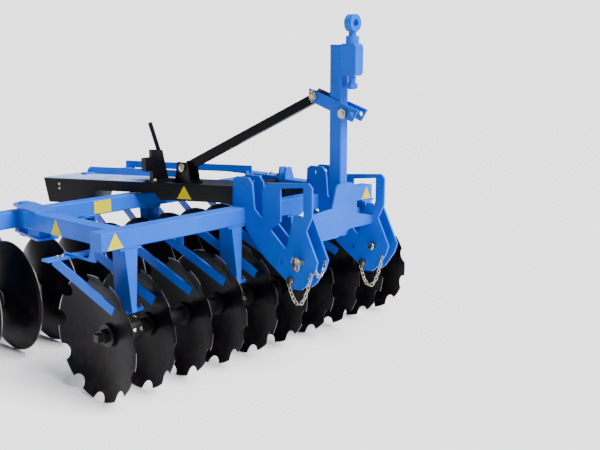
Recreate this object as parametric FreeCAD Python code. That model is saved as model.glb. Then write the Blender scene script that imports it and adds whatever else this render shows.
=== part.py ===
import FreeCAD, Part
import math
import os

os.makedirs("parts", exist_ok=True)

V = FreeCAD.Vector
X = V(1, 0, 0)
Y = V(0, 1, 0)
Z = V(0, 0, 1)

# Working frame: x from the first front disc to the far side, y rearwards from the
# front gang's axis, z up from the ground. SHIFT brings it to the row's own origin.
SHIFT = V(-978.5, -461.5, 0)

# Discs and gangs
DISC_R = 305
DISC_COUNT = 10
DISC_PITCH = 229
DISC_THICK = 5
DISH_DEPTH = 72
FLAT_R = 62
BEVEL = 16
NOTCH_COUNT = 11
NOTCH_R = 43
NOTCH_OUT = 5
NOTCH_PHASES = (0, -14, 5, -9, 12, -3, 8, -12, 3, -7)
AXLE = 36
AXLE_FIT = 0.2
SPOOL_R = 38
SPOOL_FLANGE = 12
BEARING_SPOOL_R = 34.5
BEARING_FIT = 0.1
BEARING_R = 62
BEARING_WIDE = 74
BEARING_GAPS = (0, 3, 5, 8)
GANG_Z = DISC_R
REAR_Y = 955
REAR_FIRST_X = -104
GANG_LENGTH = (DISC_COUNT - 1) * DISC_PITCH

# Frame beams
FOOT_RISE = 93
BEAM = 90
BEAM_WALL = 6
BEAM_ROUND = 8
BEAM_TOP = GANG_Z + FOOT_RISE + 407
BEAM_BOTTOM = BEAM_TOP - BEAM
REAR_BEAM_TOP = BEAM_TOP - 31
REAR_BEAM_BOTTOM = REAR_BEAM_TOP - BEAM
BEAM_NEAR_X = 26
BEAM_FAR_X = 2056
SIDE_BEAM_NEAR = 100
SIDE_BEAM_FAR = 1868
SIDE_BEAM_END = 742

# Hitch
LINK_SPREAD = 600
LINK_PLATE = 12
LINK_GAP = 70
LINK_NEAR_X = 940
FAR_DROP = 14
LINK_PIN_Y = -450
LINK_PIN_Z = BEAM_TOP - 233
LINK_PIN_R = 14
SHANK_R = 15
MAST_X = 1300
MAST_WIDE = 60
MAST_DEEP = 80
MAST_FRONT = -425
MAST_TOP = BEAM_TOP + 847
MAST_FOOT = BEAM_TOP - 155


def box(x0, x1, y0, y1, z0, z1):
    return Part.makeBox(x1 - x0, y1 - y0, z1 - z0, V(x0, y0, z0))


def rod(start, axis, radius, length):
    return Part.makeCylinder(radius, length, start, axis)


def plate(points, axis, low, high):
    """A flat plate: points in the plane across axis, from low to high along it."""
    if axis == "x":
        corners = [V(low, a, b) for a, b in points]
        push = V(high - low, 0, 0)
    elif axis == "y":
        corners = [V(a, low, b) for a, b in points]
        push = V(0, high - low, 0)
    else:
        corners = [V(a, b, low) for a, b in points]
        push = V(0, 0, high - low)
    wire = Part.makePolygon(corners + [corners[0]])
    return Part.Face(wire).extrude(push)


def bar(start, end, wide, thick, normal, over=0):
    """A flat bar from start to end; thick lies along normal, over lengthens both ends."""
    along = (end - start).normalize()
    across = along.cross(normal).normalize()
    deep = across.cross(along).normalize()
    length = (end - start).Length + 2 * over
    corner = start - along * over - across * (wide / 2) - deep * (thick / 2)
    points = [corner, corner + across * wide, corner + across * wide + deep * thick, corner + deep * thick]
    return Part.Face(Part.makePolygon(points + [points[0]])).extrude(along * length)


def hex_nut(centre, axis, across, height):
    """A hexagon along axis, centred on the plane through centre."""
    radius = across / math.sqrt(3)
    side = X if abs(axis.x) < 0.9 else Y
    first = axis.cross(side).normalize()
    second = axis.cross(first).normalize()
    points = []
    for step in range(6):
        turn = math.radians(60 * step)
        points.append(centre + first * (radius * math.cos(turn)) + second * (radius * math.sin(turn)))
    return Part.Face(Part.makePolygon(points + [points[0]])).extrude(axis * height)


def closed_tube(x0, x1, y0, y1, z0, z1, wall):
    """A rectangular tube with rounded long edges, closed at both ends."""
    body = box(x0, x1, y0, y1, z0, z1)
    sizes = (x1 - x0, y1 - y0, z1 - z0)
    run = sizes.index(max(sizes))
    edges = [e for e in body.Edges if abs(e.Length - sizes[run]) < 0.01]
    body = body.makeFillet(BEAM_ROUND, edges)
    return body.cut(box(x0 + wall, x1 - wall, y0 + wall, y1 - wall, z0 + wall, z1 - wall))


def join(shapes):
    whole = shapes[0]
    if len(shapes) > 1:
        whole = whole.fuse(shapes[1:])
    return whole.removeSplitter()


def export(name, shapes):
    group = shapes if isinstance(shapes, list) else [shapes]
    moved = [s.translated(SHIFT) for s in group]
    shape = moved[0] if len(moved) == 1 else Part.makeCompound(moved)
    shape.exportStep("parts/" + name + ".step")


# Discs
DISH_CENTRE = (DISH_DEPTH ** 2 + FLAT_R ** 2 - DISC_R ** 2) / (2 * DISH_DEPTH)
DISH_RADIUS = math.hypot(DISH_CENTRE, DISC_R)


def dish(radius):
    """How far the disc's hollow side lies from its rim plane at this radius."""
    return DISH_CENTRE + math.sqrt(DISH_RADIUS ** 2 - radius ** 2)


def disc(side):
    """A dished disc on the x axis with its rim at 0; its back bulges to side."""
    middle = (FLAT_R + DISC_R) / 2
    edge = DISC_R - BEVEL

    def at(depth, radius):
        return V(side * depth, radius, 0)

    inner_flat = Part.makeLine(at(DISH_DEPTH, 0), at(DISH_DEPTH, FLAT_R))
    inner = Part.Arc(at(DISH_DEPTH, FLAT_R), at(dish(middle), middle), at(0, DISC_R)).toShape()
    rim = Part.makeLine(at(0, DISC_R), at(1.2, DISC_R))
    ground = Part.makeLine(at(1.2, DISC_R), at(dish(edge) + DISC_THICK, edge))
    outer = Part.Arc(
        at(dish(edge) + DISC_THICK, edge),
        at(dish(middle) + DISC_THICK, middle),
        at(DISH_DEPTH + DISC_THICK, FLAT_R),
    ).toShape()
    outer_flat = Part.makeLine(at(DISH_DEPTH + DISC_THICK, FLAT_R), at(DISH_DEPTH + DISC_THICK, 0))
    axis = Part.makeLine(at(DISH_DEPTH + DISC_THICK, 0), at(DISH_DEPTH, 0))
    face = Part.Face(Part.Wire([inner_flat, inner, rim, ground, outer, outer_flat, axis]))
    solid = face.revolve(V(0, 0, 0), X, 360)
    half = AXLE / 2 + AXLE_FIT
    low = min(side * (DISH_DEPTH - 5), side * (DISH_DEPTH + DISC_THICK + 5))
    return solid.cut(box(low, low + DISC_THICK + 10, -half, half, -half, half))


def notched(solid, phase):
    cutters = []
    for step in range(NOTCH_COUNT):
        turn = math.radians(-90 + phase + step * 360 / NOTCH_COUNT)
        radius = DISC_R + NOTCH_OUT
        place = V(-20, radius * math.cos(turn), radius * math.sin(turn))
        cutters.append(rod(place, X, NOTCH_R, 60))
    return solid.cut(Part.makeCompound(cutters))


def gang(prefix, first_x, y, side, notches):
    """One gang: its discs, the spools between them, the square axle and its ends."""
    centre = V(0, y, GANG_Z)
    blank = disc(side)
    discs = []
    for index in range(DISC_COUNT):
        one = notched(blank, NOTCH_PHASES[index]) if notches else blank
        discs.append(one.translated(centre + V(first_x + index * DISC_PITCH, 0, 0)))
    export(prefix + "_discs", discs)
    half = AXLE / 2 + AXLE_FIT
    low = min(side * DISH_DEPTH, side * (DISH_DEPTH + DISC_THICK))
    spools = []
    for index in range(DISC_COUNT - 1):
        start = first_x + index * DISC_PITCH + low + DISC_THICK
        length = DISC_PITCH - DISC_THICK
        radius = BEARING_SPOOL_R if index in BEARING_GAPS else SPOOL_R
        body = rod(V(start, 0, 0), X, radius, length)
        near = rod(V(start, 0, 0), X, FLAT_R - 4, SPOOL_FLANGE)
        far = rod(V(start + length - SPOOL_FLANGE, 0, 0), X, FLAT_R - 4, SPOOL_FLANGE)
        spool = join([body, near, far]).cut(box(start - 1, start + length + 1, -half, half, -half, half))
        spools.append(spool.translated(centre))
    export(prefix + "_spools", spools)
    left = first_x + low
    right = first_x + GANG_LENGTH + low + DISC_THICK
    square = AXLE / 2
    axle = box(left - 70, right + 70, -square, square, -square, square)
    pieces = [axle]
    for end, way in ((left, -1), (right, 1)):
        face = end if way > 0 else end - 14
        pieces.append(rod(V(face, 0, 0), X, FLAT_R - 6, 14))
        nut = end + 14 if way > 0 else end - 14 - 30
        pieces.append(hex_nut(V(nut, 0, 0), X, 62, 30))
    export(prefix + "_axle", join(pieces).translated(centre))


gang("front", 0, 0, 1, True)
gang("rear", REAR_FIRST_X, REAR_Y, -1, False)

# Gang hangers and bearings
HANGER_WIDE = 75
HANGER_TIP = 25
HANGER_PLATE = 10
HANGER_FRONT = 45
HANGER_BACK = 50
HANGER_REACH = 40
HANGER_FOOT_Z = GANG_Z + FOOT_RISE
FOOT_THICK = 14
FOOT_LENGTH = 150
FOOT_WIDE = 92


def gap_centres(first_x, side):
    low = min(side * DISH_DEPTH, side * (DISH_DEPTH + DISC_THICK))
    return [first_x + gap * DISC_PITCH + low + DISC_THICK + (DISC_PITCH - DISC_THICK) / 2 for gap in BEARING_GAPS]


def rectangle(x0, x1, y0, y1, z):
    points = [V(x0, y0, z), V(x1, y0, z), V(x1, y1, z), V(x0, y1, z)]
    return Part.makePolygon(points + [points[0]])


def hanger(x, y, top, way):
    """A folded hanger: one upright plate at -x (way 1), a flange that narrows downwards, an open back."""
    foot_top = HANGER_FOOT_Z + FOOT_THICK
    plate_x = x - way * HANGER_WIDE / 2
    wide = way * HANGER_WIDE
    tip = way * HANGER_TIP
    front = y - way * HANGER_FRONT
    back = y + way * HANGER_BACK
    reach = front - way * HANGER_REACH
    inset = way * HANGER_PLATE
    outer = [
        rectangle(plate_x, plate_x + wide, front, back, top),
        rectangle(plate_x, plate_x + tip, reach, back, foot_top),
    ]
    inner = [
        rectangle(plate_x + inset, plate_x + wide + inset, front + inset, back + inset, top),
        rectangle(plate_x + inset, plate_x + tip + inset, reach + inset, back + inset, foot_top),
    ]
    body = Part.makeLoft(outer, True, True).cut(Part.makeLoft(inner, True, True))
    foot = box(x - FOOT_LENGTH / 2, x + FOOT_LENGTH / 2, y - FOOT_WIDE / 2, y + FOOT_WIDE / 2, HANGER_FOOT_Z, foot_top)
    corners = [e for e in foot.Edges if abs(e.Length - FOOT_THICK) < 0.01]
    cap = box(x - 60, x + 60, y - BEAM / 2, y + BEAM / 2, top - 10, top)
    return join([body, foot.makeFillet(18, corners), cap])


def bearing(x, y):
    """A split bearing housing under the hanger's foot, bored for the spool."""
    start = x - BEARING_WIDE / 2
    shell = rod(V(start, y, GANG_Z), X, BEARING_R, BEARING_WIDE)
    block = box(start, start + BEARING_WIDE, y - 44, y + 44, GANG_Z, HANGER_FOOT_Z)
    lip = box(start, start + BEARING_WIDE, y - 84, y + 84, GANG_Z - 12, GANG_Z + 12)
    bore = rod(V(start - 1, y, GANG_Z), X, BEARING_SPOOL_R + BEARING_FIT, BEARING_WIDE + 2)
    return join([shell, block, lip]).cut(bore)


FRONT_HANGERS = gap_centres(0, 1)
REAR_HANGERS = gap_centres(REAR_FIRST_X, -1)
export("front_hangers", [hanger(x, 0, BEAM_BOTTOM, 1) for x in FRONT_HANGERS])
export("front_bearings", [bearing(x, 0) for x in FRONT_HANGERS])
export("rear_hangers", [hanger(x, REAR_Y, REAR_BEAM_BOTTOM, -1) for x in REAR_HANGERS])
export("rear_bearings", [bearing(x, REAR_Y) for x in REAR_HANGERS])

# Front beam and side beams
front_beam = closed_tube(BEAM_NEAR_X, BEAM_FAR_X, -BEAM / 2, BEAM / 2, BEAM_BOTTOM, BEAM_TOP, BEAM_WALL)
export("front_beam", front_beam)
side_beams = []
for x in (SIDE_BEAM_NEAR, SIDE_BEAM_FAR):
    side_beams.append(closed_tube(x, x + BEAM, BEAM / 2, SIDE_BEAM_END, BEAM_BOTTOM, BEAM_TOP, BEAM_WALL))
export("side_beams", side_beams)

# Rear beam with the hinge sleeve on its front face
REAR_BEAM_NEAR = REAR_FIRST_X - 90
REAR_BEAM_FAR = REAR_FIRST_X + GANG_LENGTH + 30
PIVOT = V(200, REAR_Y - 58, 0)
PIVOT_R = 20
PIVOT_FIT = 0.1
SLEEVE_R = 34


def hinge_bore():
    return rod(PIVOT + Z * (REAR_BEAM_BOTTOM - 100), Z, PIVOT_R + PIVOT_FIT, BEAM + 250)


rear_beam = closed_tube(
    REAR_BEAM_NEAR, REAR_BEAM_FAR, REAR_Y - BEAM / 2, REAR_Y + BEAM / 2, REAR_BEAM_BOTTOM, REAR_BEAM_TOP, BEAM_WALL
)
sleeve = rod(PIVOT + Z * (REAR_BEAM_BOTTOM - 6), Z, SLEEVE_R, BEAM + 12)
export("rear_beam", join([rear_beam, sleeve]).cut(hinge_bore()))

# Hinge plates over and under the rear beam at the near side, and their pin
HINGE_PLATE = 12
HINGE_START = V(145, 590, 0)
HINGE_WIDE = 116
SIDE_GAP = 0.5


def hinge_plate(z0):
    flat = bar(HINGE_START + Z * (z0 + HINGE_PLATE / 2), PIVOT + Z * (z0 + HINGE_PLATE / 2), HINGE_WIDE, HINGE_PLATE, Z)
    return [flat, rod(PIVOT + Z * z0, Z, HINGE_WIDE / 2, HINGE_PLATE)]


hinge_low = REAR_BEAM_BOTTOM - 6 - SIDE_GAP - HINGE_PLATE
washer_low = REAR_BEAM_TOP + 6 + SIDE_GAP
washer = rod(PIVOT + Z * washer_low, Z, 40, BEAM_TOP - washer_low)
spacer = box(SIDE_BEAM_NEAR + 8, SIDE_BEAM_NEAR + BEAM - 8, 612, SIDE_BEAM_END - 20, hinge_low + HINGE_PLATE, BEAM_BOTTOM)
export("hinge_plate_top", join(hinge_plate(BEAM_TOP) + [washer]).cut(hinge_bore()))
export("hinge_plate_bottom", join(hinge_plate(hinge_low) + [spacer]).cut(hinge_bore()))
pin = rod(PIVOT + Z * (hinge_low - 30), Z, PIVOT_R, BEAM_TOP + HINGE_PLATE + 34 - hinge_low)
head = rod(PIVOT + Z * (BEAM_TOP + HINGE_PLATE), Z, 30, 8)
nut = hex_nut(PIVOT + Z * (hinge_low - 24), Z, 60, 24)
export("hinge_pin", join([pin, head, nut]))

# Slide plate over the rear beam at the far side
SLIDE_HALF = 50
SLIDE_END = 1130
slide_x = SIDE_BEAM_FAR + BEAM / 2
slide = box(slide_x - SLIDE_HALF, slide_x + SLIDE_HALF, HINGE_START.y, SLIDE_END, BEAM_TOP, BEAM_TOP + HINGE_PLATE)
slide_corners = [e for e in slide.Edges if abs(e.Length - HINGE_PLATE) < 0.01 and e.CenterOfMass.y > SLIDE_END - 1]
export("slide_plate", slide.makeFillet(30, slide_corners))

# Main diagonal beam: it steps over the rear beam and drops to a tail behind it
MAIN_TOP = BEAM_TOP + 45
MAIN_WIDE = 228
MAIN_START = V(1345, BEAM / 2, 0)
MAIN_END = V(676, 1471, 0)
MAIN_ALONG = (MAIN_END - MAIN_START).normalize()
MAIN_AWAY = V(-MAIN_ALONG.y, MAIN_ALONG.x, 0) * -1
MAIN_LENGTH = (MAIN_END - MAIN_START).Length
STEP_START = MAIN_LENGTH - 790
STEP_END = MAIN_LENGTH - 360
STEP_RISE = BEAM_TOP - 19
MAIN_BOTTOM = BEAM_TOP - 57
TAIL_BOTTOM = BEAM_TOP - 106


def on_main(distance, offset, z):
    return MAIN_START + MAIN_ALONG * distance + MAIN_AWAY * offset + V(0, 0, z)


def main_plate(profile, offset, thick):
    """A plate along the main beam: profile in distance along it and height."""
    points = [on_main(d, offset, z) for d, z in profile]
    return Part.Face(Part.makePolygon(points + [points[0]])).extrude(MAIN_AWAY * thick)


main_profile = [
    (-60, MAIN_BOTTOM), (-60, MAIN_TOP), (MAIN_LENGTH, MAIN_TOP), (MAIN_LENGTH - 30, TAIL_BOTTOM),
    (STEP_END + 30, TAIL_BOTTOM), (STEP_END, STEP_RISE), (STEP_START + 30, STEP_RISE), (STEP_START, MAIN_BOTTOM),
]
front_clear = box(900, 1700, -200, BEAM / 2, MAIN_BOTTOM - 10, MAIN_TOP + 10)
rear_clear = box(500, 1200, MAIN_END.y, MAIN_END.y + 300, TAIL_BOTTOM - 10, MAIN_TOP + 10)
main_beam = main_plate(main_profile, 0, MAIN_WIDE).cut(front_clear).cut(rear_clear)
export("main_beam", main_beam)

# Deck plate on the rear half of the main beam
DECK = 5
DECK_START = 900
deck_profile = [(DECK_START, MAIN_TOP), (DECK_START, MAIN_TOP + DECK), (MAIN_LENGTH, MAIN_TOP + DECK), (MAIN_LENGTH, MAIN_TOP)]
deck_clear = box(500, 1200, MAIN_END.y, MAIN_END.y + 300, MAIN_TOP - 1, MAIN_TOP + DECK + 1)
export("main_deck", main_plate(deck_profile, 0, MAIN_WIDE).cut(deck_clear))

# Lower link brackets: pairs of hooked plates that hang from the front beam
BRACKET = [
    (52, 0), (45, 145), (20, 162), (-70, 162), (-98, 130), (-110, 0), (-338, -190), (-394, 3), (-436, 3),
    (-548, -222), (-530, -275), (-470, -358), (-440, -382), (-388, -386), (-316, -334), (-188, -252),
    (-46, -115), (-46, 0),
]
STAY_HOLE = (-24, 125)
LOW_HOLE = (-374, -342)
SPARE_HOLE = (-300, -258)
BRACKETS = (("link_bracket_near", LINK_NEAR_X, 0), ("link_bracket_far", LINK_NEAR_X + LINK_SPREAD, FAR_DROP))


def bracket_plate(x, drop):
    """One plate; its front part, ahead of the beam, lies lower by drop."""
    outline = [(y, BEAM_TOP + z - (drop if y < -110 else 0)) for y, z in BRACKET]
    flat = plate(outline, "x", x, x + LINK_PLATE)
    holes = [rod(V(x - 1, LINK_PIN_Y, LINK_PIN_Z - drop), X, SHANK_R + 0.05, LINK_PLATE + 2)]
    holes.append(rod(V(x - 1, STAY_HOLE[0], BEAM_TOP + STAY_HOLE[1]), X, 13, LINK_PLATE + 2))
    for y, z in (LOW_HOLE, SPARE_HOLE):
        holes.append(rod(V(x - 1, y, BEAM_TOP + z - drop), X, 14.5, LINK_PLATE + 2))
    return flat.cut(Part.makeCompound(holes))


HOOP = [
    (-172, -70), (-172, 108), (-208, 147), (-488, 172), (-512, 150), (-512, 4), (-474, -72), (-440, -10), (-455, 6),
    (-455, 146), (-298, 128), (-298, -46), (-215, -100),
]


def hoop(x, drop):
    """The bracket's upper part: a broad leg on the arm, a top rail and a leg down to the horn."""
    return plate([(y, BEAM_TOP + z - drop) for y, z in HOOP], "x", x, x + LINK_PLATE)


for name, base, drop in BRACKETS:
    first = join([bracket_plate(base, drop), hoop(base, drop)])
    export(name, [first, bracket_plate(base + LINK_PLATE + LINK_GAP, drop)])

# Lower link pins: each has a free end for the tractor's link, outside its bracket
PIN_FREE = 60
PIN_OVER = 22
pins = []
for base, drop, out in ((LINK_NEAR_X, 0, -1), (LINK_NEAR_X + LINK_SPREAD, FAR_DROP, 1)):
    span = LINK_GAP + 2 * LINK_PLATE
    outer_x = base if out < 0 else base + span
    centre = V(0, LINK_PIN_Y, LINK_PIN_Z - drop)
    shank = rod(centre + X * (base - (PIN_OVER if out > 0 else 8)), X, SHANK_R, span + PIN_OVER + 8)
    free = rod(centre + X * (outer_x + out * 8), X * out, LINK_PIN_R, PIN_FREE)
    pins.append(join([shank, free]))
export("link_pins", pins)
spare_pins = []
for name, base, drop in BRACKETS:
    start = V(base - 26, LOW_HOLE[0], BEAM_TOP + LOW_HOLE[1] - drop)
    shank = rod(start, X, 14.45, LINK_GAP + 2 * LINK_PLATE + 44)
    spare_pins.append(join([shank, rod(start + X * 14, X, 21, 12)]))
export("spare_pins", spare_pins)

# Mast, its front plate and the crossbar behind it
mast = closed_tube(
    MAST_X - MAST_WIDE / 2, MAST_X + MAST_WIDE / 2, MAST_FRONT, MAST_FRONT + MAST_DEEP, MAST_FOOT, MAST_TOP, BEAM_WALL
)
export("mast", mast)
FRONT_PLATE = 12
inner_near = LINK_NEAR_X + 2 * LINK_PLATE + LINK_GAP
inner_far = LINK_NEAR_X + LINK_SPREAD
front_plate = plate(
    [
        (inner_near, MAST_FOOT), (1230, MAST_FOOT), (1341, MAST_FOOT + 34), (inner_far, MAST_FOOT + 34),
        (inner_far, MAST_FOOT + 80), (1400, MAST_FOOT + 110), (MAST_X + 99, MAST_FOOT + 182),
        (MAST_X + 70, MAST_FOOT + 285), (MAST_X - 70, MAST_FOOT + 285), (MAST_X - 110, MAST_FOOT + 160),
        (inner_near, MAST_FOOT + 148),
    ],
    "y", MAST_FRONT - FRONT_PLATE, MAST_FRONT,
)
top_edges = [
    e for e in front_plate.Edges
    if abs(e.Length - FRONT_PLATE) < 0.01 and e.CenterOfMass.z > MAST_FOOT + 280
]
export("mast_front_plate", front_plate.makeFillet(45, top_edges))
spine_y = MAST_FRONT + MAST_DEEP
export("headstock_crossbar", box(inner_near, inner_far, spine_y, spine_y + 12, MAST_FOOT + 50, MAST_FOOT + 110))

# Mast head and the eye bolt screwed down through it
HEAD_DEEP = 92
HEAD_LOW = MAST_TOP - 158
HEAD_HIGH = MAST_TOP + 4
EYE_Y = MAST_FRONT - HEAD_DEEP / 2
EYE_Z = HEAD_HIGH + 102
EYE_R = 44
EYE_HOLE = 20
EYE_THICK = 44
EYE_SHANK = 20
head_x = MAST_WIDE / 2 + 2
head_front = MAST_FRONT - HEAD_DEEP
head_block = box(MAST_X - head_x, MAST_X + head_x, head_front, MAST_FRONT, HEAD_LOW, HEAD_HIGH)
front_edges = [
    e for e in head_block.Edges
    if abs(e.CenterOfMass.y - head_front) < 0.01 and abs(e.Length - 2 * head_x) < 0.01
]
shank_hole = rod(V(MAST_X, EYE_Y, HEAD_LOW - 1), Z, EYE_SHANK + 0.05, HEAD_HIGH - HEAD_LOW + 2)
export("mast_head", head_block.makeChamfer(14, front_edges).cut(shank_hole))
STEM_LOW = HEAD_LOW - 68
eye = rod(V(MAST_X, EYE_Y - EYE_THICK / 2, EYE_Z), Y, EYE_R, EYE_THICK)
stem = rod(V(MAST_X, EYE_Y, STEM_LOW), Z, EYE_SHANK, EYE_Z - EYE_HOLE - 10 - STEM_LOW)
collar = rod(V(MAST_X, EYE_Y, HEAD_HIGH), Z, 34, EYE_Z - HEAD_HIGH - EYE_R - 20)
low_nut = hex_nut(V(MAST_X, EYE_Y, STEM_LOW + 4), Z, 56, 26)
eye_hole = rod(V(MAST_X, EYE_Y - EYE_THICK / 2 - 1, EYE_Z), Y, EYE_HOLE, EYE_THICK + 2)
export("eye_bolt", join([eye, stem, collar, low_nut]).cut(eye_hole))

# Rocker plates at the mast, with the pivot in its lug and the stay's pin
ROCKER_PLATE = 12
ROCKER_SIDE = 1
ROCKER = [(-215, -227), (-545, -330), (-505, -390), (-345, -334), (-262, -307), (-215, -287)]
ROCKER_Y, ROCKER_Z = -452, MAST_TOP - 349
STAY_PIN_Y, STAY_PIN_Z = -250, MAST_TOP - 267
TOP_LINK_Y, TOP_LINK_Z = -505, MAST_TOP - 352
ROCKER_PIN_R = 14
STAY_PIN_R = 12.5
TOP_LINK_R = 12.75
PIN_FIT = 0.05
rocker_holes = (
    (ROCKER_Y, ROCKER_Z, ROCKER_PIN_R + PIN_FIT),
    (STAY_PIN_Y, STAY_PIN_Z, STAY_PIN_R + PIN_FIT),
    (TOP_LINK_Y, TOP_LINK_Z, TOP_LINK_R),
)
rocker_half = MAST_WIDE / 2 + ROCKER_PLATE + ROCKER_SIDE
rockers = []
for x in (MAST_X - rocker_half, MAST_X + rocker_half - ROCKER_PLATE):
    flat = plate([(y, MAST_TOP + z) for y, z in ROCKER], "x", x, x + ROCKER_PLATE)
    for y, z, radius in rocker_holes:
        flat = flat.cut(rod(V(x - 1, y, z), X, radius, ROCKER_PLATE + 2))
    rockers.append(flat)
export("rocker_plates", rockers)


def cross_pin(y, z, radius, ends):
    return rod(V(MAST_X - rocker_half - ends, y, z), X, radius, 2 * (rocker_half + ends))


bolt_head = hex_nut(V(MAST_X - rocker_half - 20, ROCKER_Y, ROCKER_Z), X, 46, 20)
bolt_nut = hex_nut(V(MAST_X + rocker_half, ROCKER_Y, ROCKER_Z), X, 46, 22)
export("rocker_pivot", join([cross_pin(ROCKER_Y, ROCKER_Z, ROCKER_PIN_R, 26), bolt_head, bolt_nut]))
LUG_R = 27
lug_block = box(
    MAST_X - MAST_WIDE / 2, MAST_X + MAST_WIDE / 2, ROCKER_Y, MAST_FRONT, ROCKER_Z - LUG_R, ROCKER_Z + LUG_R
)
lug = join([rod(V(MAST_X - MAST_WIDE / 2, ROCKER_Y, ROCKER_Z), X, LUG_R, MAST_WIDE), lug_block])
export("rocker_lug", lug.cut(cross_pin(ROCKER_Y, ROCKER_Z, ROCKER_PIN_R + PIN_FIT, 30)))
stay_head = rod(V(MAST_X - rocker_half - 12, STAY_PIN_Y, STAY_PIN_Z), X, 24, 12)
export("stay_pin", join([cross_pin(STAY_PIN_Y, STAY_PIN_Z, STAY_PIN_R, 24), stay_head]))

# Stay from the rocker down to its bracket on the main beam
STAY_REAR = V(1150, 655, MAIN_TOP + 92)
STAY_DEEP = 52
STAY_WIDE = 30
stay_front = V(MAST_X, STAY_PIN_Y, STAY_PIN_Z)
eye_front = rod(stay_front - X * 27, X, 32, 54)
eye_rear = rod(STAY_REAR - X * 20, X, 28, 40)
stay = join([bar(stay_front, STAY_REAR, STAY_DEEP, STAY_WIDE, X), eye_front, eye_rear])
stay = stay.cut(rod(stay_front - X * 60, X, STAY_PIN_R + PIN_FIT, 120))
rear_hole = rod(STAY_REAR - X * 60, X, STAY_PIN_R + PIN_FIT, 120)
export("stay", stay.cut(rear_hole))
CHEEK = 12
cheek_top = STAY_REAR.z + 30
cheeks = []
for x in (STAY_REAR.x - 42, STAY_REAR.x + 42 - CHEEK):
    outline = [(590, MAIN_TOP), (730, MAIN_TOP), (700, cheek_top), (612, cheek_top)]
    cheeks.append(plate(outline, "x", x, x + CHEEK))
foot = box(STAY_REAR.x - 50, STAY_REAR.x + 50, 580, 740, MAIN_TOP, MAIN_TOP + 12)
export("stay_bracket", join(cheeks + [foot]).cut(rear_hole))
rear_pin = rod(STAY_REAR - X * 60, X, STAY_PIN_R, 120)
export("stay_rear_pin", join([rear_pin, rod(STAY_REAR - X * 54, X, 24, 12)]))

# Lever and its stand on the main beam
STAND_Y = 800
STAND_THICK = 30
stand = plate(
    [(1000, MAIN_TOP), (1130, MAIN_TOP), (1118, MAIN_TOP + 20), (1080, MAIN_TOP + 190), (1000, MAIN_TOP + 196)],
    "y", STAND_Y, STAND_Y + STAND_THICK,
)
side_box = box(945, 1000, STAND_Y - 6, STAND_Y + STAND_THICK + 6, MAIN_TOP + 70, MAIN_TOP + 150)
stand_foot = box(990, 1140, STAND_Y - 24, STAND_Y + STAND_THICK + 24, MAIN_TOP, MAIN_TOP + 10)
export("lever_stand", join([stand, side_box, stand_foot]))
LEVER_R = 13
lever_low = V(1062, STAND_Y + STAND_THICK / 2, MAIN_TOP + 188)
lever_high = V(1004, STAND_Y + STAND_THICK / 2, MAIN_TOP + 355)
lever_run = lever_high - lever_low
lever_rod = rod(lever_low, lever_run, LEVER_R, lever_run.Length)
export("lever", lever_rod.cut(stand))

# Cross tube from the main beam to the far side beam, with its end bracket
TUBE_R = 22
TUBE_Y = 600
tube_z = BEAM_TOP - TUBE_R - 4
tube = rod(V(MAST_X, TUBE_Y, tube_z), X, TUBE_R, SIDE_BEAM_FAR - MAST_X)
export("cross_tube", tube.cut(main_beam))
tube_cheek = [
    (SIDE_BEAM_FAR, BEAM_TOP), (SIDE_BEAM_FAR + BEAM, BEAM_TOP), (SIDE_BEAM_FAR + 62, BEAM_TOP + 74),
    (SIDE_BEAM_FAR + 10, BEAM_TOP + 74),
]
export("tube_bracket", [plate(tube_cheek, "y", y, y + 12) for y in (TUBE_Y - 76, TUBE_Y - 26)])

# Rails: one along the main beam's far edge, one beside it on a strap and a post
RAIL_Z = MAIN_TOP + DECK
RAIL_HIGH = 44
RAIL_THICK = 12
RAIL_FRONT = V(1612, TUBE_Y, RAIL_Z + RAIL_THICK + RAIL_HIGH / 2)
RAIL_REAR = V(1262, 1380, RAIL_Z + RAIL_THICK + RAIL_HIGH / 2)
edge_profile = [
    (706, RAIL_Z), (720, RAIL_Z + RAIL_HIGH), (1375, RAIL_Z + RAIL_HIGH), (1395, RAIL_Z + RAIL_HIGH - 20), (1395, RAIL_Z),
]
edge_rail = main_plate(edge_profile, MAIN_WIDE - RAIL_THICK, RAIL_THICK)
strap = box(900, RAIL_REAR.x + 24, RAIL_REAR.y - 30, RAIL_REAR.y + 20, RAIL_Z, RAIL_Z + RAIL_THICK)
rail = bar(RAIL_FRONT, RAIL_REAR, RAIL_HIGH, RAIL_THICK, RAIL_REAR.sub(RAIL_FRONT).cross(Z), 20)
post = box(RAIL_FRONT.x - 30, RAIL_FRONT.x + 30, TUBE_Y - 6, TUBE_Y + 6, tube_z, RAIL_Z + RAIL_THICK + 10)
post_bore = rod(V(RAIL_FRONT.x - 40, TUBE_Y, tube_z), X, TUBE_R, 80)
export("side_rail", join([edge_rail, strap, rail, post.cut(post_bore)]))

# Blank warning plates on the beams
SIGN_SIDE = 90
SIGN_THICK = 2
sign_z = (BEAM_TOP + BEAM_BOTTOM) / 2


def triangle(centre, along, out):
    """An upright triangle centred on centre; along is level and out faces away from the beam."""
    high = SIGN_SIDE * math.sqrt(3) / 2
    corners = [centre - along * (SIGN_SIDE / 2) - Z * (high / 2), centre + along * (SIGN_SIDE / 2) - Z * (high / 2)]
    corners.append(centre + Z * (high / 2))
    return Part.Face(Part.makePolygon(corners + [corners[0]])).extrude(out * SIGN_THICK)


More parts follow.
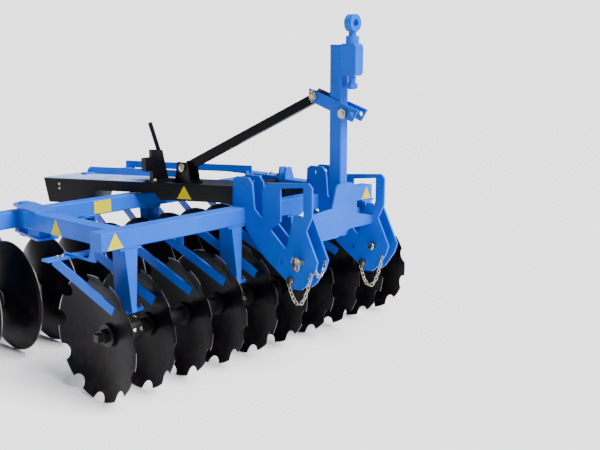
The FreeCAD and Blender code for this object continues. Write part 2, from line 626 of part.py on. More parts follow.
signs = [
    triangle(V(101, -BEAM / 2, sign_z), X, Y * -1),
    triangle(V(1996, -BEAM / 2, sign_z), X, Y * -1),
    triangle(V(SIDE_BEAM_NEAR, 438, sign_z), Y, X * -1),
    triangle(on_main(626, 0, (MAIN_TOP + MAIN_BOTTOM) / 2), MAIN_ALONG, MAIN_AWAY * -1),
]
export("warning_plates", signs)
sign_y = REAR_Y - BEAM / 2
export("rear_warning_plate", box(650, 768, sign_y - SIGN_THICK, sign_y, REAR_BEAM_BOTTOM + 8, REAR_BEAM_TOP - 8))

# Scraper bars, their arms and the scrapers
SCRAPER_WIDE = 50
SCRAPER_THICK = 8
BAR_Y = DISC_R - 60
BAR_Z = BEAM_BOTTOM - 67
BAR_WIDE = 56
BAR_THICK = 12
TIP_Y = 0.35 * DISC_R
TIP_Z = GANG_Z + 0.51 * DISC_R
FRONT_ARMS = (34, 560, 1110, 1800)
REAR_ARMS = (124, 644, 1290, 1770)


def scraper_arm(x, y, way, bar_y, beam_bottom):
    """A flat arm from under the beam, out over the scraper bar."""
    inner = y + way * 20
    outer = bar_y + way * BAR_WIDE / 2
    over = BAR_Z + BAR_THICK
    points = [(inner, beam_bottom), (y + way * BEAM / 2, beam_bottom), (y + way * 70, over + 12)]
    points += [(outer, over + 12), (outer, over), (inner, over)]
    return plate(points, "x", x - 6, x + 6)


def scrapers(prefix, first_x, y, side, way, beam_bottom, arms_at):
    """way is 1 where the bar lies behind the gang, -1 where it lies in front."""
    near = first_x - 90
    far = first_x + GANG_LENGTH + 60
    bar_y = y + way * BAR_Y
    rail = box(near, far, bar_y - BAR_WIDE / 2, bar_y + BAR_WIDE / 2, BAR_Z, BAR_Z + BAR_THICK)
    arms = [scraper_arm(first_x + offset, y, way, bar_y, beam_bottom) for offset in arms_at]
    export(prefix + "_scraper_bar", join([rail] + arms))
    above = box(near - 50, far + 50, bar_y - 60, bar_y + 60, BAR_Z, BAR_Z + 100)
    blades = []
    for index in range(DISC_COUNT):
        x = first_x + index * DISC_PITCH
        top = V(x - side * 38, bar_y, BAR_Z - 6)
        tip = V(x + side * 24, y - way * TIP_Y, TIP_Z)
        blades.append(bar(top, tip, SCRAPER_WIDE, SCRAPER_THICK, X, 10).cut(above))
    export(prefix + "_scrapers", blades)


scrapers("front", 0, 0, 1, 1, BEAM_BOTTOM, FRONT_ARMS)
scrapers("rear", REAR_FIRST_X, REAR_Y, -1, 1, REAR_BEAM_BOTTOM, REAR_ARMS)
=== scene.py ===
import math
import random

import bmesh
import bpy
from mathutils import Matrix, Vector


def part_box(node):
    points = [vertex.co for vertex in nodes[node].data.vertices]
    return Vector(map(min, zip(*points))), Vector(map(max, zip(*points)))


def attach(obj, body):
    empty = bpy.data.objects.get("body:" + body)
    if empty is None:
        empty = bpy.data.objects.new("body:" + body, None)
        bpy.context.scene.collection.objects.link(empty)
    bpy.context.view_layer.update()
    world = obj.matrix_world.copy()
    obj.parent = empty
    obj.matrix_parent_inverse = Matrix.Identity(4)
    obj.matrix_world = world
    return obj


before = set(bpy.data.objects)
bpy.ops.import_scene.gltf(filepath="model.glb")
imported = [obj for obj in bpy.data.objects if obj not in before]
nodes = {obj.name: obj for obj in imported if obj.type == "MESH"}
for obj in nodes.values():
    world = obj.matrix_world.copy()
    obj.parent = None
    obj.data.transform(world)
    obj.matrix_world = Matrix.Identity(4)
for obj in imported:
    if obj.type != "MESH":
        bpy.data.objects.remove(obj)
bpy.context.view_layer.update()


# Shader groups
# Each one gives masks or heights only. Object coordinates are the row frame's own metres,
# so a pattern stays put on its part when the part turns.
def new_group(name, outputs):
    group = bpy.data.node_groups.new(name, "ShaderNodeTree")
    for label in outputs:
        group.interface.new_socket(label, in_out="OUTPUT", socket_type="NodeSocketFloat")
    return group, group.nodes.new("NodeGroupOutput")


def noise(tree, coordinates, scale, detail, roughness=0.55):
    node = tree.nodes.new("ShaderNodeTexNoise")
    node.inputs["Scale"].default_value = scale
    node.inputs["Detail"].default_value = detail
    node.inputs["Roughness"].default_value = roughness
    tree.links.new(coordinates, node.inputs["Vector"])
    return node.outputs["Fac"]


def remap(tree, value, low, high, start=0.0, end=1.0):
    node = tree.nodes.new("ShaderNodeMapRange")
    node.inputs["From Min"].default_value = low
    node.inputs["From Max"].default_value = high
    node.inputs["To Min"].default_value = start
    node.inputs["To Max"].default_value = end
    tree.links.new(value, node.inputs["Value"])
    return node.outputs["Result"]


def math_node(tree, operation, first, second):
    node = tree.nodes.new("ShaderNodeMath")
    node.operation = operation
    node.use_clamp = operation in ("MULTIPLY", "ADD")
    for socket, value in zip(node.inputs, (first, second)):
        if isinstance(value, (int, float)):
            socket.default_value = value
        else:
            tree.links.new(value, socket)
    return node.outputs["Value"]


def surface_group():
    """Paint skin: broad tone, orange peel, dust on upward faces that some paints also use for a painted top
    highlight, and chips down to primer.
    """
    group, out = new_group("paint_skin", ("Tone", "Peel", "DustAndTopLight", "Chips"))
    place = group.nodes.new("ShaderNodeTexCoord").outputs["Object"]
    geometry = group.nodes.new("ShaderNodeNewGeometry")
    up = group.nodes.new("ShaderNodeSeparateXYZ")
    group.links.new(geometry.outputs["Normal"], up.inputs["Vector"])
    # Upward faces: a mask for dust, which the blue and deck paints also use to paint a highlight on their
    # tops.
    facing_up = remap(group, up.outputs["Z"], 0.35, 1.0)
    drift = remap(group, noise(group, place, 9, 5), 0.42, 0.78)
    dust_and_top_light = math_node(group, "MULTIPLY", facing_up, drift)
    chips = remap(group, noise(group, place, 62, 6, 0.7), 0.695, 0.71)
    rare = remap(group, noise(group, place, 6, 2), 0.56, 0.66)
    group.links.new(remap(group, noise(group, place, 3.2, 4), 0.3, 0.7), out.inputs["Tone"])
    group.links.new(noise(group, place, 900, 2), out.inputs["Peel"])
    group.links.new(dust_and_top_light, out.inputs["DustAndTopLight"])
    group.links.new(math_node(group, "MULTIPLY", chips, rare), out.inputs["Chips"])
    return group


def soil_group():
    """Soil film: thick near the ground, thinning to nothing at beam height."""
    group, out = new_group("soil_film", ("Film", "Crumb"))
    place = group.nodes.new("ShaderNodeTexCoord").outputs["Object"]
    split = group.nodes.new("ShaderNodeSeparateXYZ")
    group.links.new(place, split.inputs["Vector"])
    low = remap(group, split.outputs["Z"], 0.5, 0.0)
    patch = remap(group, noise(group, place, 14, 7, 0.65), 0.45, 0.75)
    group.links.new(math_node(group, "MULTIPLY", low, patch), out.inputs["Film"])
    group.links.new(noise(group, place, 160, 4, 0.7), out.inputs["Crumb"])
    return group


def ring_group():
    """Distance from a gang's axis, where Centre is a point on that axis."""
    group, out = new_group("axis_distance", ("Radius",))
    group.interface.new_socket("Centre", in_out="INPUT", socket_type="NodeSocketVector")
    entry = group.nodes.new("NodeGroupInput")
    place = group.nodes.new("ShaderNodeTexCoord").outputs["Object"]
    apart = group.nodes.new("ShaderNodeVectorMath")
    apart.operation = "SUBTRACT"
    flat = group.nodes.new("ShaderNodeVectorMath")
    flat.operation = "MULTIPLY"
    flat.inputs[1].default_value = (0, 1, 1)
    length = group.nodes.new("ShaderNodeVectorMath")
    length.operation = "LENGTH"
    group.links.new(place, apart.inputs[0])
    group.links.new(entry.outputs["Centre"], apart.inputs[1])
    group.links.new(apart.outputs["Vector"], flat.inputs[0])
    group.links.new(flat.outputs["Vector"], length.inputs[0])
    group.links.new(length.outputs["Value"], out.inputs["Radius"])
    return group


PAINT_SKIN = surface_group()
SOIL_FILM = soil_group()
AXIS_DISTANCE = ring_group()


# Material parts
# Small wrappers so that each material below reads as a list of layers.
def new_material(name, roughness, metallic=0.0):
    material = bpy.data.materials.new(name)
    material.use_nodes = True
    shader = material.node_tree.nodes["Principled BSDF"]
    shader.inputs["Roughness"].default_value = roughness
    shader.inputs["Metallic"].default_value = metallic
    return material, material.node_tree, shader


def add_group(tree, group):
    node = tree.nodes.new("ShaderNodeGroup")
    node.node_tree = group
    return node


def blend_colour(tree, mask, under, over):
    """under where the mask is 0, over where it is 1; each is a colour or a socket."""
    mix = tree.nodes.new("ShaderNodeMix")
    mix.data_type = "RGBA"
    tree.links.new(mask, mix.inputs["Factor"])
    for socket, value in ((mix.inputs[6], under), (mix.inputs[7], over)):
        if isinstance(value, tuple):
            socket.default_value = (*value, 1)
        else:
            tree.links.new(value, socket)
    return mix.outputs[2]


def soil_over(tree, colour, soil_colour, most):
    """The colour with soil on it, no thicker than most."""
    soil = add_group(tree, SOIL_FILM)
    film = remap(tree, soil.outputs["Film"], 0, 1, 0, most)
    return blend_colour(tree, film, colour, soil_colour)


def add_bump(tree, shader, height, strength, distance):
    bump = tree.nodes.new("ShaderNodeBump")
    bump.inputs["Strength"].default_value = strength
    bump.inputs["Distance"].default_value = distance
    tree.links.new(height, bump.inputs["Height"])
    tree.links.new(bump.outputs["Normal"], shader.inputs["Normal"])


# Enamel
# The frame is sprayed in gloss blue, the main beam and stay in black. The deck is blue made pale, a painted
# highlight for the bright light on its top.
# The warning plates are yellow. All of them chip to the same grey primer.
PRIMER = (0.16, 0.15, 0.14)
DRY_SOIL = (0.17, 0.12, 0.08)
DUST_ROUGHENS = 0.3


def paint(name, dark, light, roughness, dust_and_top_light_colour, dust_and_top_light_most, gloss):
    """Sprayed enamel: two close tones, fine peel, light dust on top, which for the blues is also a painted
    highlight, and a few chips.
    """
    material, tree, shader = new_material(name, roughness)
    shader.inputs["Specular IOR Level"].default_value = gloss
    skin = add_group(tree, PAINT_SKIN)
    colour = blend_colour(tree, skin.outputs["Tone"], dark, light)
    # Upward faces blend toward the top colour: dust, and on the blue and deck paints also a painted highlight
    # of light falling on their tops.
    dust_and_top_light = remap(tree, skin.outputs["DustAndTopLight"], 0, 1, 0, dust_and_top_light_most)
    colour = blend_colour(tree, dust_and_top_light, colour, dust_and_top_light_colour)
    colour = blend_colour(tree, skin.outputs["Chips"], colour, PRIMER)
    colour = soil_over(tree, colour, DRY_SOIL, 0.35)
    tree.links.new(colour, shader.inputs["Base Color"])
    rough = remap(tree, skin.outputs["DustAndTopLight"], 0, 1, roughness, roughness + DUST_ROUGHENS)
    tree.links.new(rough, shader.inputs["Roughness"])
    add_bump(tree, shader, skin.outputs["Peel"], 0.12, 0.0004)
    return material


# The frame blue's top colour is a paler cyan: dust, plus a painted highlight on upward faces.
BLUE = paint(
    "blue_enamel", dark=(0.004, 0.08, 0.52), light=(0.006, 0.112, 0.64), roughness=0.24,
    dust_and_top_light_colour=(0.06, 0.26, 0.64), dust_and_top_light_most=0.15, gloss=0.1,
)
# The deck's blue is made pale, and paler still on its upward face: a painted highlight of the bright light on
# the beam's top.
DECK_BLUE_PAINTED_HIGHLIGHT = paint(
    "deck_enamel_painted_highlight", dark=(0.3, 0.42, 0.72), light=(0.37, 0.49, 0.78), roughness=0.18,
    dust_and_top_light_colour=(0.55, 0.63, 0.8), dust_and_top_light_most=0.35, gloss=0.5,
)
BLACK = paint(
    "black_enamel", dark=(0.002, 0.002, 0.0032), light=(0.004, 0.004, 0.006), roughness=0.28,
    dust_and_top_light_colour=(0.05, 0.05, 0.07), dust_and_top_light_most=0.25, gloss=0.14,
)
YELLOW = paint(
    "yellow_plate", dark=(0.54, 0.45, 0.0), light=(0.58, 0.49, 0.0), roughness=0.35,
    dust_and_top_light_colour=(0.52, 0.45, 0.04), dust_and_top_light_most=0.05, gloss=0.05,
)


# Disc steel
# Each disc is blackened spring steel, pressed to a dish and turned, which leaves fine rings.
# Its bevelled edge is ground bright, in patches, and soil scuffs the lower part.
DISC_EDGE = 0.305
GROUND_WIDE = 0.0045
GROUND_FULL = 0.0015
EDGE_WOBBLE = 0.0012
RINGS_PER_METRE = 1500


def disc_steel(name, centre):
    material, tree, shader = new_material(name, 0.3)
    shader.inputs["Specular IOR Level"].default_value = 0.09
    ring = add_group(tree, AXIS_DISTANCE)
    ring.inputs["Centre"].default_value = centre
    skin = add_group(tree, PAINT_SKIN)
    place = tree.nodes.new("ShaderNodeTexCoord").outputs["Object"]
    wobble = remap(tree, noise(tree, place, 30, 4), 0, 1, -EDGE_WOBBLE, EDGE_WOBBLE)
    radius = tree.nodes.new("ShaderNodeMath")
    tree.links.new(ring.outputs["Radius"], radius.inputs[0])
    tree.links.new(wobble, radius.inputs[1])
    worn = remap(tree, noise(tree, place, 5, 2), 0.42, 0.58, 0.15, 1.0)
    rim = remap(tree, radius.outputs["Value"], DISC_EDGE - GROUND_WIDE, DISC_EDGE - GROUND_FULL)
    ground = math_node(tree, "MULTIPLY", rim, worn)
    colour = blend_colour(tree, skin.outputs["Tone"], (0.0012, 0.0013, 0.0022), (0.003, 0.003, 0.005))
    colour = soil_over(tree, colour, (0.07, 0.032, 0.034), 0.34)
    colour = blend_colour(tree, ground, colour, (0.34, 0.34, 0.36))
    tree.links.new(colour, shader.inputs["Base Color"])
    tree.links.new(remap(tree, ground, 0, 1, 0.0, 0.85), shader.inputs["Metallic"])
    scaled = tree.nodes.new("ShaderNodeMath")
    scaled.operation = "MULTIPLY"
    scaled.inputs[1].default_value = RINGS_PER_METRE
    tree.links.new(ring.outputs["Radius"], scaled.inputs[0])
    turned = tree.nodes.new("ShaderNodeMath")
    turned.operation = "SINE"
    tree.links.new(scaled.outputs["Value"], turned.inputs[0])
    add_bump(tree, shader, turned.outputs["Value"], 0.06, 0.0005)
    return material


def gang_centre(name):
    low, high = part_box(name)
    return (0, (low.y + high.y) / 2, (low.z + high.z) / 2)


FRONT_STEEL = disc_steel("front_disc_steel", gang_centre("front_axle"))
REAR_STEEL = disc_steel("rear_disc_steel", gang_centre("rear_axle"))


# Plated metal and cast iron
# Pins, bolts and chain are zinc, some with a yellow passivated tint.
# Spools, axle ends and bearing housings are oily cast iron, rough from the mould.
def plated(name, pale, gold):
    material, tree, shader = new_material(name, 0.3, metallic=1.0)
    skin = add_group(tree, PAINT_SKIN)
    colour = blend_colour(tree, skin.outputs["Tone"], pale, gold)
    colour = blend_colour(tree, skin.outputs["Chips"], colour, (0.2, 0.09, 0.04))
    tree.links.new(colour, shader.inputs["Base Color"])
    tree.links.new(remap(tree, skin.outputs["Tone"], 0, 1, 0.22, 0.42), shader.inputs["Roughness"])
    add_bump(tree, shader, skin.outputs["Peel"], 0.1, 0.0003)
    return material


def cast_iron():
    material, tree, shader = new_material("cast_iron", 0.55, metallic=0.3)
    skin = add_group(tree, PAINT_SKIN)
    crumb = add_group(tree, SOIL_FILM).outputs["Crumb"]
    colour = blend_colour(tree, skin.outputs["Tone"], (0.004, 0.004, 0.005), (0.011, 0.01, 0.012))
    colour = soil_over(tree, colour, (0.15, 0.09, 0.055), 0.25)
    tree.links.new(colour, shader.inputs["Base Color"])
    add_bump(tree, shader, crumb, 0.35, 0.0012)
    return material


ZINC = plated("zinc", (0.45, 0.45, 0.43), (0.5, 0.42, 0.24))
GOLD_ZINC = plated("gold_zinc", (0.5, 0.38, 0.17), (0.54, 0.44, 0.25))
IRON = cast_iron()


# Finishes of the solids
# Everything painted blue is the default; the list names the rest.
FINISHES = {
    "front_discs": FRONT_STEEL, "rear_discs": REAR_STEEL,
    "front_spools": IRON, "rear_spools": IRON, "front_axle": IRON, "rear_axle": IRON,
    "front_bearings": IRON, "rear_bearings": IRON,
    "main_beam": BLACK, "stay": BLACK, "stay_bracket": BLACK, "lever_stand": BLACK,
    "lever": BLACK, "cross_tube": BLACK, "main_deck": DECK_BLUE_PAINTED_HIGHLIGHT, "spare_pins": GOLD_ZINC,
    "link_pins": ZINC, "rocker_pivot": ZINC, "stay_pin": ZINC, "stay_rear_pin": ZINC,
    "warning_plates": YELLOW, "rear_warning_plate": YELLOW,
}
for name, node in nodes.items():
    node.data.materials.clear()
    node.data.materials.append(FINISHES.get(name, BLUE))


# Building pieces
# Meshes are made in the row frame and then ride on the body they belong to.
X = Vector((1, 0, 0))
Y = Vector((0, 1, 0))
Z = Vector((0, 0, 1))


def finish_piece(name, mesh, material, body, smooth=True):
    data = bpy.data.meshes.new(name)
    mesh.to_mesh(data)
    mesh.free()
    data.materials.append(material)
    if smooth:
        data.shade_smooth()
    piece = bpy.data.objects.new(name, data)
    bpy.context.scene.collection.objects.link(piece)
    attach(piece, body)


def round_points(steps):
    """Cosine and sine of each step round a circle."""
    turns = [math.tau * step / steps for step in range(steps)]
    return [(math.cos(turn), math.sin(turn)) for turn in turns]


def bridge(mesh, pairs):
    """Quads between each pair of closed rows of vertices."""
    for low, high in pairs:
        for step in range(len(low)):
            after = (step + 1) % len(low)
            mesh.faces.new((low[step], low[after], high[after], high[step]))


def turned_rows(mesh, place, profile, steps):
    """A row of vertices round the local z axis for each (radius, height) of the profile."""
    rows = []
    for radius, height in profile:
        points = [Vector((radius * c, radius * s, height)) for c, s in round_points(steps)]
        rows.append([mesh.verts.new(place @ point) for point in points])
    bridge(mesh, zip(rows, rows[1:]))
    return rows


def turned_to(axis):
    return axis.to_track_quat("Z", "Y").to_matrix().to_4x4()


def add_lathe(mesh, centre, axis, profile, steps):
    """Revolve a profile of (radius, height) pairs about axis at centre."""
    rows = turned_rows(mesh, Matrix.Translation(centre) @ turned_to(axis), profile, steps)
    mesh.faces.new(rows[-1])
    mesh.faces.new(rows[0][::-1])


def add_hex(mesh, centre, axis, across, height, spin):
    """A hexagon head with a chamfered crown."""
    corner = across / math.sqrt(3)
    place = Matrix.Translation(centre) @ turned_to(axis) @ Matrix.Rotation(spin, 4, "Z")
    profile = [(corner, 0), (corner, height * 0.8), (corner * 0.86, height)]
    mesh.faces.new(turned_rows(mesh, place, profile, 6)[-1])


def add_bolt(mesh, centre, axis, size, spin):
    """A washer, a hexagon head on it and a little thread end, for a bolt of that thread size."""
    washer = size * 0.18
    head = size * 0.65
    add_lathe(mesh, centre, axis, [(size * 1.02, 0), (size * 1.02, washer * 0.8), (size * 0.94, washer)], 18)
    add_hex(mesh, centre + axis * washer, axis, size * 1.5, head, spin)
    tip = centre + axis * (washer + head)
    add_lathe(mesh, tip, axis, [(size * 0.46, 0), (size * 0.46, size * 0.18), (size * 0.38, size * 0.28)], 12)


def bolts(name, spots, axis, size, body):
    mesh = bmesh.new()
    turns = random.Random(name)
    for spot in spots:
        add_bolt(mesh, Vector(spot), axis, size, turns.uniform(0, math.tau / 6))
    finish_piece(name, mesh, ZINC, body, smooth=False)


def solids_of(name):
    """The box of each separate solid of a CAD node, ordered along x."""
    mesh = bmesh.new()
    mesh.from_mesh(nodes[name].data)
    bmesh.ops.remove_doubles(mesh, verts=mesh.verts, dist=1e-6)
    boxes = []
    seen = set()
    for seed in mesh.verts:
        if seed in seen:
            continue
        seen.add(seed)
        waiting = [seed]
        group = []
        while waiting:
            vert = waiting.pop()
            group.append(vert.co.copy())
            for edge in vert.link_edges:
                other = edge.other_vert(vert)
                if other not in seen:
                    seen.add(other)
                    waiting.append(other)
        low = Vector([min(p[k] for p in group) for k in range(3)])
        high = Vector([max(p[k] for p in group) for k in range(3)])
        boxes.append((low, high))
    mesh.free()
    return sorted(boxes, key=lambda b: b[0].x)


# Bolts on the gangs and hangers
# Zinc-plated hexagon bolts on flat washers. Four clamp each hanger's foot to its bearing
# housing, four close the housing's cap, and two hold each scraper to its bar.
FOOT_BOLT_X = 0.058
FOOT_BOLT_Y = 0.03
FOOT_THICK = 0.014
CAP_BOLT_X = 0.02
CAP_BOLT_Y = 0.072
CAP_BOLT_Z = 0.317
SCRAPER_HALF = 0.026
SCRAPER_BOLT_X = 0.014
SCRAPER_BOLT_BACK = 0.035
SCRAPER_BAR_THICK = 0.012
for gang, body in (("front", "frame"), ("rear", "rear_frame")):
    foot_spots = []
    cap_spots = []
    for low, high in solids_of(gang + "_bearings"):
        middle = (low + high) / 2
        foot_top = high.z + FOOT_THICK
        for way_x in (-1, 1):
            for way_y in (-1, 1):
                foot_spots.append((middle.x + way_x * FOOT_BOLT_X, middle.y + way_y * FOOT_BOLT_Y, foot_top))
        for way_y in (-1, 1):
            for way_x in (-1, 1):
                cap_spots.append((middle.x + way_x * CAP_BOLT_X, middle.y + way_y * CAP_BOLT_Y, CAP_BOLT_Z))
    bolts(gang + "_foot_bolts", foot_spots, Z, 0.016, body)
    bolts(gang + "_cap_bolts", cap_spots, Z, 0.014, body)
    scraper_spots = []
    for low, high in solids_of(gang + "_scrapers"):
        middle_x = low.x + SCRAPER_HALF if gang == "front" else high.x - SCRAPER_HALF
        for along in (-SCRAPER_BOLT_X, SCRAPER_BOLT_X):
            spot = (middle_x + along, high.y - SCRAPER_BOLT_BACK, high.z + SCRAPER_BAR_THICK)
            scraper_spots.append(spot)
    bolts(gang + "_scraper_bolts", scraper_spots, Z, 0.012, body)


# Bolts on the frame
# Zinc-plated hexagon bolts on flat washers. Four clamp the slide plate on the far side beam,
# four the lever stand's foot, and two small ones sit in the main beam's rear flank.
slide_plate_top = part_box("slide_plate")[1].z
side_boxes = solids_of("side_beams")
far_side_low, far_side_high = side_boxes[-1]
SLIDE_BOLT_X = 0.022
SLIDE_BOLT_BACKS = (0.03, 0.12)
slide_spots = [
    ((far_side_low.x + far_side_high.x) / 2 + way, far_side_high.y - back, slide_plate_top)
    for way in (-SLIDE_BOLT_X, SLIDE_BOLT_X)
    for back in SLIDE_BOLT_BACKS
]
bolts("slide_bolts", slide_spots, Z, 0.016, "frame")
STAND_BOLT_LEFT = 0.062
STAND_BOLT_RIGHT = 0.016
STAND_BOLT_Y = 0.012
STAND_FOOT_THICK = 0.01
stand_low, stand_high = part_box("lever_stand")
stand_spots = [
    (x, y, stand_low.z + STAND_FOOT_THICK)
    for x in (stand_low.x + STAND_BOLT_LEFT, stand_high.x - STAND_BOLT_RIGHT)
    for y in (stand_low.y + STAND_BOLT_Y, stand_high.y - STAND_BOLT_Y)
]
bolts("stand_bolts", stand_spots, Z, 0.012, "frame")
FLANK = Vector((-0.9053, -0.4248, 0))
FLANK_RUN = Vector((-0.4248, 0.9053, 0))
FLANK_BACK = 0.11
FLANK_DROPS = (0.034, 0.062)
main_low, main_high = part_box("main_beam")
tail = Vector((main_low.x, main_high.y, main_high.z)) - FLANK_RUN * FLANK_BACK
bolts("flank_bolts", [tail - Z * drop for drop in FLANK_DROPS], FLANK, 0.008, "frame")


# Linch pins and their rings
# A gold-zinc steel pin drops through the end of each hitch pin and of the stay's pin, and its
# sprung wire ring folds over that end to hold it.
LINCH_R = 0.0045
LINCH_OVER = 0.012
LINCH_UNDER = 0.02
LINCH_HEAD = [(0.009, 0), (0.009, 0.009), (0.006, 0.012)]
RING_WIRE = 0.0028
RING_RUN = Vector((0.3, 0.954, 0))
LINK_PIN_R = 0.014
LINK_PIN_HEAD = [(0.02, 0), (0.02, 0.007), (0.016, 0.01)]
STAY_PIN_R = 0.0125


def across(along):
    """Two directions square to along and to each other."""
    side = along.cross(Z if abs(along.z) < 0.9 else X).normalized()
    return side, along.cross(side)


def wire_row(mesh, centre, along, radius, steps):
    side, other = across(along)
    return [
        mesh.verts.new(centre + side * (radius * c) + other * (radius * s))
        for c, s in round_points(steps)
    ]


def add_tube(mesh, points, radius, steps, closed):
    """A round bar through points; closed joins its ends."""
    rows = []
    count = len(points)
    for index, point in enumerate(points):
        before = points[index - 1] if closed or index else point
        after = points[(index + 1) % count] if closed or index < count - 1 else point
        rows.append(wire_row(mesh, point, (after - before).normalized(), radius, steps))
    bridge(mesh, list(zip(rows, rows[1:])) + ([(rows[-1], rows[0])] if closed else []))
    if not closed:
        mesh.faces.new(rows[0][::-1])
        mesh.faces.new(rows[-1])


def circle(centre, first, second, radius, count, long_radius=None):
    """Points round a circle, or an oval where long_radius gives the half length along first."""
    return [
        centre + first * ((long_radius or radius) * c) + second * (radius * s)
        for c, s in round_points(count)
    ]


def add_linch_pin(mesh, centre, radius, ring_radius, forward=0.0):
    """A pin down through a hitch pin's end, and the sprung ring that folds round that end."""
    top = centre + Z * (radius + LINCH_OVER)
    add_tube(mesh, [top, centre - Z * (radius + LINCH_UNDER)], LINCH_R, 12, False)
    add_lathe(mesh, top - Z * 0.004, Z, LINCH_HEAD, 16)
    ring = circle(centre - X * 0.002 - Y * forward, RING_RUN, Z, ring_radius, 32)
    add_tube(mesh, ring, RING_WIRE, 8, True)


def on_axis(box, x):
    """The point at x on the axis of a pin that lies along x."""
    middle = (box[0] + box[1]) / 2
    return Vector((x, middle.y, middle.z))


near_pin_box, far_pin_box = solids_of("link_pins")
near_pin = on_axis(near_pin_box, near_pin_box[0].x + 0.016)
far_pin = on_axis(far_pin_box, far_pin_box[1].x - 0.016)
stay_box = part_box("stay_pin")
linch = bmesh.new()
add_linch_pin(linch, near_pin, LINK_PIN_R, 0.037)
add_linch_pin(linch, far_pin, LINK_PIN_R, 0.034, forward=0.03)
add_linch_pin(linch, on_axis(stay_box, stay_box[0].x + 0.006), STAY_PIN_R, 0.022)
add_lathe(linch, on_axis(far_pin_box, far_pin_box[0].x), -X, LINK_PIN_HEAD, 24)
finish_piece("linch_pins", linch, GOLD_ZINC, "frame")


# Keeper chains
# Short-link chain of welded zinc-plated wire, each link turned a quarter from the next. It hangs
# in a bight from each bracket and ties the loose pin to an eye on the plate.
LINK_LONG = 0.03
LINK_PITCH = 0.0225
LINK_HALF = 0.009
LINK_WIRE = 0.0026
BIGHT_STEPS = 400
SPARE_PIN_R = 0.012
SPARE_END = 0.006
EYE_R = 0.008
EYE_WIRE = 0.0022
EYE_LOW = Vector((0, -0.0605, -0.053))
EYE_EDGE = Vector((0, -0.083, -0.028))
EYE_INNER = Vector((0, -0.0825, 0.003))
RIVET = [(0.005, 0), (0.005, 0.003), (0.003, 0.005)]
BRACKET_PLATE = 0.012


def bight(start, end, drop):
    """Points a link's pitch apart along a hanging curve."""
    points = [start]
    for step in range(1, BIGHT_STEPS + 1):
        share = step / BIGHT_STEPS
        point = start.lerp(end, share) - Z * (drop * 4 * share * (1 - share))
        if (point - points[-1]).length >= LINK_PITCH:
            points.append(point)
    if (end - points[-1]).length > LINK_PITCH / 2:
        points.append(end)
    else:
        points[-1] = end
    return points


def add_link(mesh, start, end, quarter):
    along = (end - start).normalized()
    side = along.cross(X if abs(along.x) < 0.9 else Y).normalized()
    if quarter:
        side = along.cross(side)
    oval = circle((start + end) / 2, along, side, LINK_HALF, 16, LINK_LONG / 2)
    add_tube(mesh, oval, LINK_WIRE, 8, True)


def add_chain(mesh, start, end, drop):
    stops = bight(start, end, drop)
    for index, (low, high) in enumerate(zip(stops, stops[1:])):
        add_link(mesh, low, high, index % 2)


def add_eye(mesh, x, pin, offset, riveted):
    """A wire eye on a plate, by a rivet on its near face or welded on its front edge."""
    spot = Vector((x, pin.y, pin.z)) + offset
    if riveted:
        add_lathe(mesh, spot, -X, RIVET, 12)
        spot.x -= 0.003
    add_tube(mesh, circle(spot, Y, Z, EYE_R, 16), EYE_WIRE, 8, True)
    return spot - Z * EYE_R


near_spare, far_spare = (on_axis(box, box[0].x + SPARE_END) for box in solids_of("spare_pins"))
near_plate, inner_plate = (low.x for low, _ in solids_of("link_bracket_near"))
far_plate = solids_of("link_bracket_far")[0][0].x
chain = bmesh.new()
near_eye = add_eye(chain, near_plate, near_pin, EYE_LOW, True)
edge_eye = add_eye(chain, near_plate + BRACKET_PLATE / 2, near_pin, EYE_EDGE, False)
inner_eye = add_eye(chain, inner_plate, near_pin, EYE_INNER, True)
far_eye = add_eye(chain, far_plate, far_pin, EYE_LOW, True)
add_chain(chain, near_spare - Z * SPARE_PIN_R, near_eye, 0.13)
add_chain(chain, edge_eye - Y * 0.002, inner_eye, 0.045)
add_chain(chain, far_spare - Z * SPARE_PIN_R, far_eye, 0.138)
finish_piece("keeper_chains", chain, ZINC, "frame")


# Weld beads
# Rippled steel fillets, painted with the frame, where plates and tubes meet: side beams on the
# front beam, hangers under the beams, the mast, and the brackets' plates.
WELD_R = 0.0045
RIPPLE = 0.006
RIPPLE_STEPS = 3
WELD_SIDES = 8
END_GAP = 0.008
HANGER_HALF = 0.036
MAST_WELD_LOW = 0.01
MAST_WELD_HIGH = 0.27
PLATE_GAP = 0.002
REAR_WELD_BACK = 0.04
REAR_BEAM_WIDE = 0.09


def add_weld(mesh, start, end):
    length = (end - start).length
    steps = max(3, int(length / RIPPLE)) * RIPPLE_STEPS
    along = (end - start).normalized()
    rows = []
    for index in range(steps + 1):
        swell = WELD_R * (0.86 + 0.14 * math.cos(math.tau * index / RIPPLE_STEPS))
        rows.append(wire_row(mesh, start.lerp(end, index / steps), along, swell, WELD_SIDES))
    bridge(mesh, zip(rows, rows[1:]))
    mesh.faces.new(rows[0][::-1])
    mesh.faces.new(rows[-1])


def weld_along_x(mesh, start_x, end_x, y, z):
    add_weld(mesh, Vector((start_x, y, z)), Vector((end_x, y, z)))


def weld_along_z(mesh, x, y, start_z, end_z):
    add_weld(mesh, Vector((x, y, start_z)), Vector((x, y, end_z)))


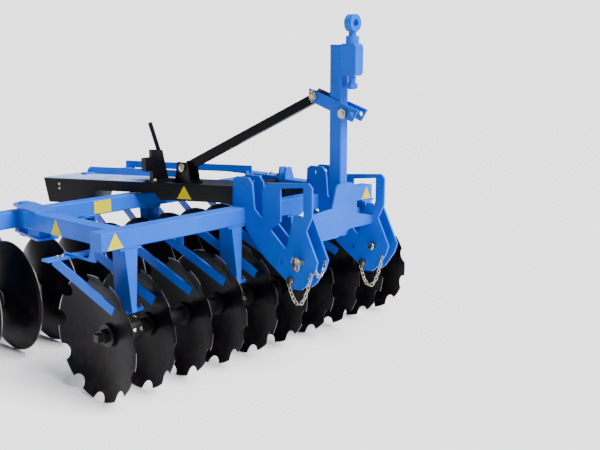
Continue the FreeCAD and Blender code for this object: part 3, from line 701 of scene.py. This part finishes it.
welds = bmesh.new()
front_low, front_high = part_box("front_beam")
for low, high in (side_boxes[0], side_boxes[-1]):
    for x in (low.x, high.x):
        weld_along_z(welds, x, front_high.y, low.z + END_GAP, high.z - END_GAP)
    weld_along_x(welds, low.x + END_GAP, high.x - END_GAP, front_high.y, high.z)
for low, high in solids_of("front_hangers"):
    middle = (low.x + high.x) / 2
    weld_along_x(welds, middle - HANGER_HALF, middle + HANGER_HALF, front_low.y, high.z)
mast_low, mast_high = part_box("mast")
head_low, head_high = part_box("mast_head")
for x in (mast_low.x, mast_high.x):
    weld_along_z(welds, x, mast_low.y, mast_low.z + MAST_WELD_LOW, mast_low.z + MAST_WELD_HIGH)
    weld_along_z(welds, x, head_high.y, head_low.z, mast_high.z)
for name in ("link_bracket_near", "link_bracket_far"):
    for low, high in solids_of(name):
        for x in (low.x, low.x + BRACKET_PLATE):
            front = Vector((x, front_low.y + PLATE_GAP, front_high.z))
            add_weld(welds, front, Vector((x, front_high.y - PLATE_GAP, front_high.z)))
finish_piece("frame_welds", welds, BLUE, "frame")
rear_welds = bmesh.new()
for low, high in solids_of("rear_hangers"):
    middle = (low.x + high.x) / 2
    for y in (high.y - REAR_WELD_BACK - REAR_BEAM_WIDE, high.y - REAR_WELD_BACK):
        weld_along_x(rear_welds, middle - HANGER_HALF, middle + HANGER_HALF, y, high.z)
finish_piece("rear_welds", rear_welds, BLUE, "rear_frame")


# Grease nipples
# A plated steel nipple with a hexagon foot and a ball end, screwed into the outer side of each
# bearing housing.
NIPPLE_HEX = 0.009
NIPPLE_HEX_HIGH = 0.006
NIPPLE = [(0.003, 0), (0.003, 0.005), (0.0042, 0.007), (0.0042, 0.010), (0.002, 0.013)]
NIPPLE_OUT = 0.044
NIPPLE_UP = 0.06
for gang, body, way in (("front", "frame", -1), ("rear", "rear_frame", 1)):
    nipples = bmesh.new()
    for low, high in solids_of(gang + "_bearings"):
        middle = (low + high) / 2
        spot = Vector((middle.x, middle.y + way * NIPPLE_OUT, middle.z + NIPPLE_UP))
        add_hex(nipples, spot, Y * way, NIPPLE_HEX, NIPPLE_HEX_HIGH, 0)
        add_lathe(nipples, spot + Y * way * NIPPLE_HEX_HIGH, Y * way, NIPPLE, 12)
    finish_piece(gang + "_nipples", nipples, GOLD_ZINC, body)


# Stage
# A flat pale floor under one soft sun from the front and above. The sky is dim where the paint
# mirrors it, and close to the floor's tone where the camera looks past the floor.
FLOOR_SIZE = 60
FLOOR_UNDER = 0.0005
SKY_LIT = 0.35
SKY_SEEN = 2.56
SUN_POWER = 9.3
SUN_SPREAD = math.radians(38)
SUN_PLACE = Vector((1.2, -6.0, 7.5))
bpy.ops.mesh.primitive_plane_add(size=FLOOR_SIZE, location=(0, 0, -FLOOR_UNDER))
floor = bpy.context.object
floor.name = "floor"
floor_paint, _, floor_shader = new_material("pale_floor", 0.9)
floor_shader.inputs["Base Color"].default_value = (0.97, 0.97, 0.98, 1)
floor.data.materials.append(floor_paint)
world = bpy.data.worlds.new("studio")
bpy.context.scene.world = world
world.use_nodes = True
backdrop = world.node_tree.nodes["Background"]
backdrop.inputs["Color"].default_value = (0.97, 0.98, 1, 1)
seen = world.node_tree.nodes.new("ShaderNodeLightPath").outputs["Is Camera Ray"]
sky_strength = remap(world.node_tree, seen, 0, 1, SKY_LIT, SKY_SEEN)
world.node_tree.links.new(sky_strength, backdrop.inputs["Strength"])
sun = bpy.data.lights.new("sky_light", "SUN")
sun.energy = SUN_POWER
sun.angle = SUN_SPREAD
sun_holder = bpy.data.objects.new("sky_light", sun)
sun_holder.location = SUN_PLACE
sun_holder.rotation_euler = (-SUN_PLACE).to_track_quat("-Z", "Y").to_euler()
bpy.context.scene.collection.objects.link(sun_holder)


# Camera
# The place and direction that put the front discs' rims where the photograph has them.
camera_data = bpy.data.cameras.new("camera")
camera_data.sensor_width = 36.0
camera_data.lens = 50.68
camera = bpy.data.objects.new("camera", camera_data)
camera.location = (-3.141, -3.6588, 1.5924)
PITCH = math.radians(11.3)
HEADING = math.radians(48.31)
looking = Vector((math.sin(HEADING) * math.cos(PITCH), math.cos(HEADING) * math.cos(PITCH), -math.sin(PITCH)))
camera.rotation_euler = looking.to_track_quat("-Z", "Y").to_euler()
bpy.context.scene.collection.objects.link(camera)
bpy.context.scene.camera = camera
